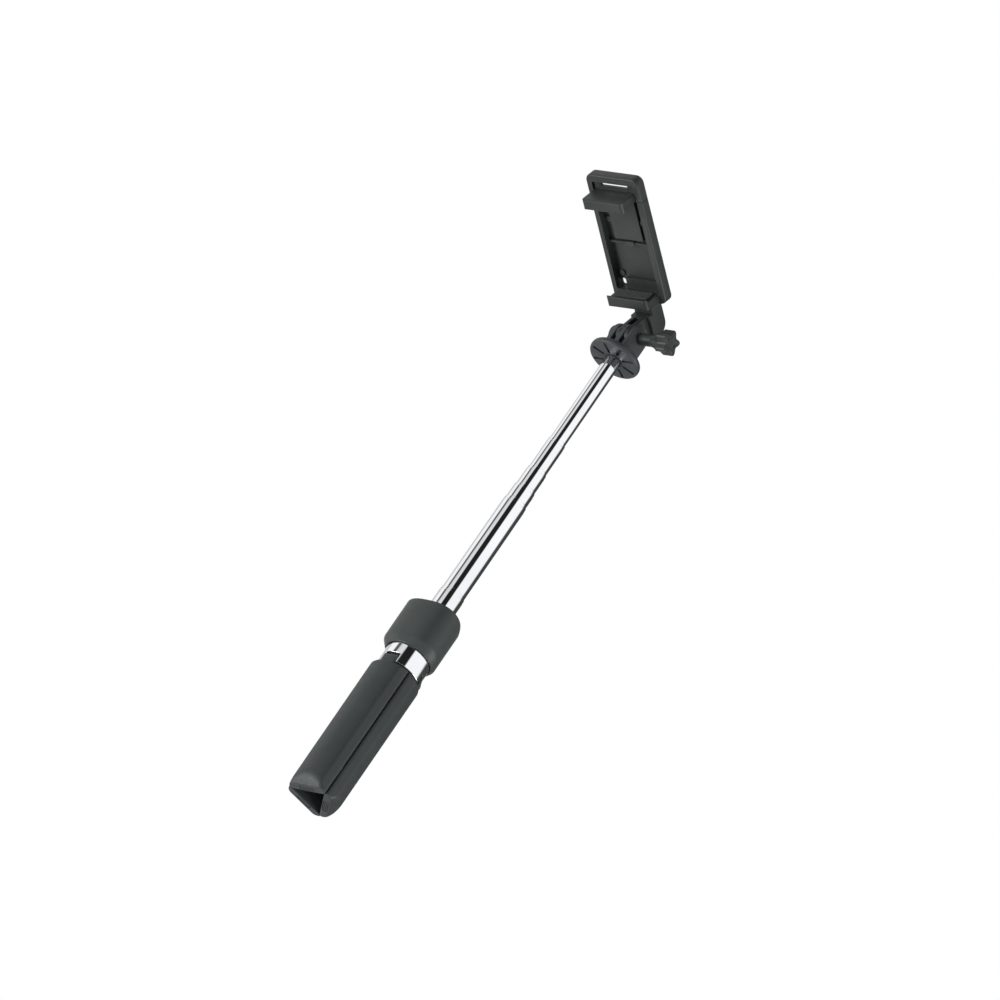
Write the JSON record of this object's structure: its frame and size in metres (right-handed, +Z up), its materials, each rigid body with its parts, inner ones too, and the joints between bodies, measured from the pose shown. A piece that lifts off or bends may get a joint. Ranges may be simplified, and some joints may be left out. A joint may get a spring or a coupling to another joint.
{
  "type": "selfie stick",
  "caption": "Telescopic chrome pole with a fold-out tripod handle and a tilting spring clamp for a phone.",
  "frame": {"origin": "centre of the handle's lower end, in the plane of the folded legs' end faces", "axes": "+Z up the pole towards the head, +X along the clamp's tilt pivot towards the star knob, so the clamp reaches towards -Y"},
  "size_m": [0.047, 0.0977, 0.3916],
  "materials": {
    "leg_plastic": "dark grey satin moulded plastic with a faint green-blue cast and a fine grain",
    "collar_plastic": "dark grey satin moulded plastic",
    "head_plastic": "mid grey satin moulded plastic",
    "clamp_plastic": "dark grey satin moulded plastic with polished edges",
    "knob_plastic": "dark grey satin moulded plastic",
    "guide_plastic": "natural acetal, hidden inside the tubes",
    "rubber": "matt black rubber",
    "chrome": "mirror chrome plate on thin steel tube",
    "steel": "zinc-plated steel"
  },
  "bodies": {
    "handle": {"hinge_hub": "collar_plastic", "chrome_sleeve": "chrome", "collar_shell": "collar_plastic", "tube_1": "chrome", "tube_1_guide_bush": "guide_plastic", "leg_1_hinge_pin": "steel", "leg_2_hinge_pin": "steel", "leg_3_hinge_pin": "steel"},
    "leg_1": {"leg_1": "leg_plastic", "leg_1_foot_pad": "rubber"},
    "leg_2": {"leg_2": "leg_plastic", "leg_2_foot_pad": "rubber"},
    "leg_3": {"leg_3": "leg_plastic", "leg_3_foot_pad": "rubber"},
    "tube_2": {"tube_2": "chrome", "tube_2_guide_bush": "guide_plastic"},
    "tube_3": {"tube_3": "chrome", "tube_3_guide_bush": "guide_plastic"},
    "tube_4": {"tube_4": "chrome", "tube_4_guide_bush": "guide_plastic"},
    "tube_5": {"tube_5": "chrome", "tube_5_guide_bush": "guide_plastic"},
    "tube_6": {"tube_6": "chrome", "tube_6_guide_bush": "guide_plastic"},
    "head": {"head_mount": "head_plastic", "hex_nut": "steel"},
    "knob": {"thumb_bolt": "steel", "star_knob": "knob_plastic"},
    "clamp": {"clamp_back": "clamp_plastic", "clamp_frame": "clamp_plastic", "lower_jaw_pad": "rubber", "jaw_spring_1": "steel", "jaw_spring_2": "steel", "cover_screw_1": "steel", "cover_screw_2": "steel", "cover_screw_3": "steel", "cover_screw_4": "steel"},
    "jaw": {"upper_jaw": "clamp_plastic", "upper_jaw_pad": "rubber", "runner_plate": "steel", "runner_screw_1": "steel", "runner_screw_2": "steel"}
  },
  "joints": [
    {"name": "leg_1_hinge", "type": "hinge", "parent": "handle", "child": "leg_1", "pos_m": [0.00073, -0.01037, 0.093], "axis": [-0.9976, -0.0698, 0], "range_deg": [0, 62]},
    {"name": "leg_2_hinge", "type": "hinge", "parent": "handle", "child": "leg_2", "pos_m": [0.00862, 0.00582, 0.093], "axis": [0.5592, -0.829, 0], "range_deg": [0, 62]},
    {"name": "leg_3_hinge", "type": "hinge", "parent": "handle", "child": "leg_3", "pos_m": [-0.00935, 0.00456, 0.093], "axis": [0.4384, 0.8988, 0], "range_deg": [0, 62]},
    {"name": "tube_2_slide", "type": "slide", "parent": "handle", "child": "tube_2", "axis": [0, 0, 1], "range_m": [-0.0659, 0.0421]},
    {"name": "tube_3_slide", "type": "slide", "parent": "tube_2", "child": "tube_3", "axis": [0, 0, 1], "range_m": [-0.0084, 0.0961]},
    {"name": "tube_4_slide", "type": "slide", "parent": "tube_3", "child": "tube_4", "axis": [0, 0, 1], "range_m": [-0.0115, 0.0895]},
    {"name": "tube_5_slide", "type": "slide", "parent": "tube_4", "child": "tube_5", "axis": [0, 0, 1], "range_m": [-0.0194, 0.0781]},
    {"name": "tube_6_slide", "type": "slide", "parent": "tube_5", "child": "tube_6", "axis": [0, 0, 1], "range_m": [-0.0595, 0.0345]},
    {"name": "head_turn", "type": "hinge", "parent": "tube_6", "child": "head", "pos_m": [0, 0, 0.3265], "axis": [0, 0, 1], "continuous": true},
    {"name": "clamp_tilt", "type": "hinge", "parent": "head", "child": "clamp", "pos_m": [0, 0, 0.3436], "axis": [1, 0, 0], "range_deg": [-90, 60]},
    {"name": "knob_turn", "type": "hinge", "parent": "head", "child": "knob", "pos_m": [0, 0, 0.3436], "axis": [1, 0, 0], "range_deg": [0, 540]},
    {"name": "jaw_slide", "type": "slide", "parent": "clamp", "child": "jaw", "axis": [0, -0.9542, 0.299], "range_m": [0, 0.0215], "stiffness_N_per_m": 140, "springref_m": -0.035}
  ]
}
